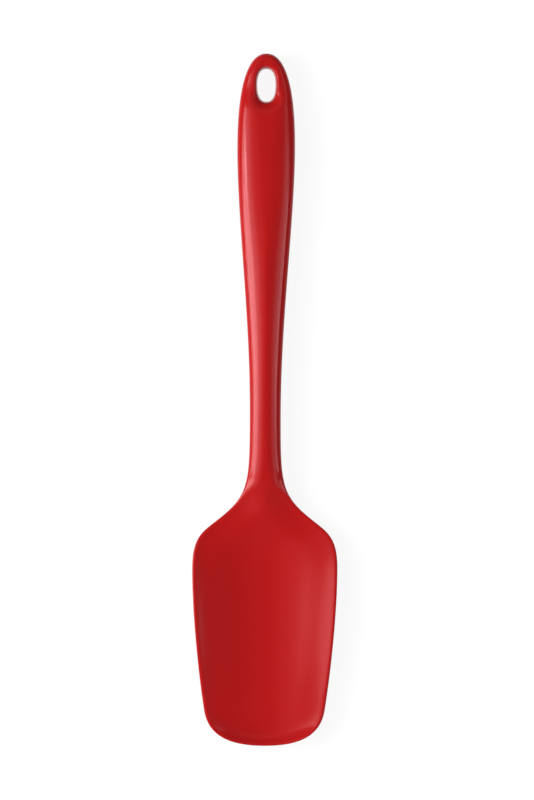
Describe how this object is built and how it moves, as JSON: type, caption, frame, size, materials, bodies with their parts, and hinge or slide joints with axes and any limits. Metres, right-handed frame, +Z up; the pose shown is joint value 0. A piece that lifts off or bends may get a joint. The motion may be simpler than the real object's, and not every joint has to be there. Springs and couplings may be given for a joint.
{
  "type": "silicone turner",
  "caption": "One-piece silicone turner: a shallow dished blade with a flexible lip, a slim neck and a rounded grip that ends in an oval hanging eye, moulded over a nylon core and a steel spine.",
  "frame": {"origin": "on the table plane, below the middle of the overall box; the turner lies on its back with the dished face up", "axes": "+Y from the blade tip towards the hanging eye, +X across the blade, +Z up out of the dished face"},
  "size_m": [0.0588, 0.28, 0.0137],
  "materials": {
    "red_silicone": "satin moulded silicone",
    "filled_nylon": "matt glass-filled nylon",
    "stainless_steel": "rolled stainless strip"
  },
  "bodies": {
    "root": {"silicone_sheath": "red_silicone", "nylon_handle_core": "filled_nylon", "steel_spine": "stainless_steel"}
  },
  "joints": []
}
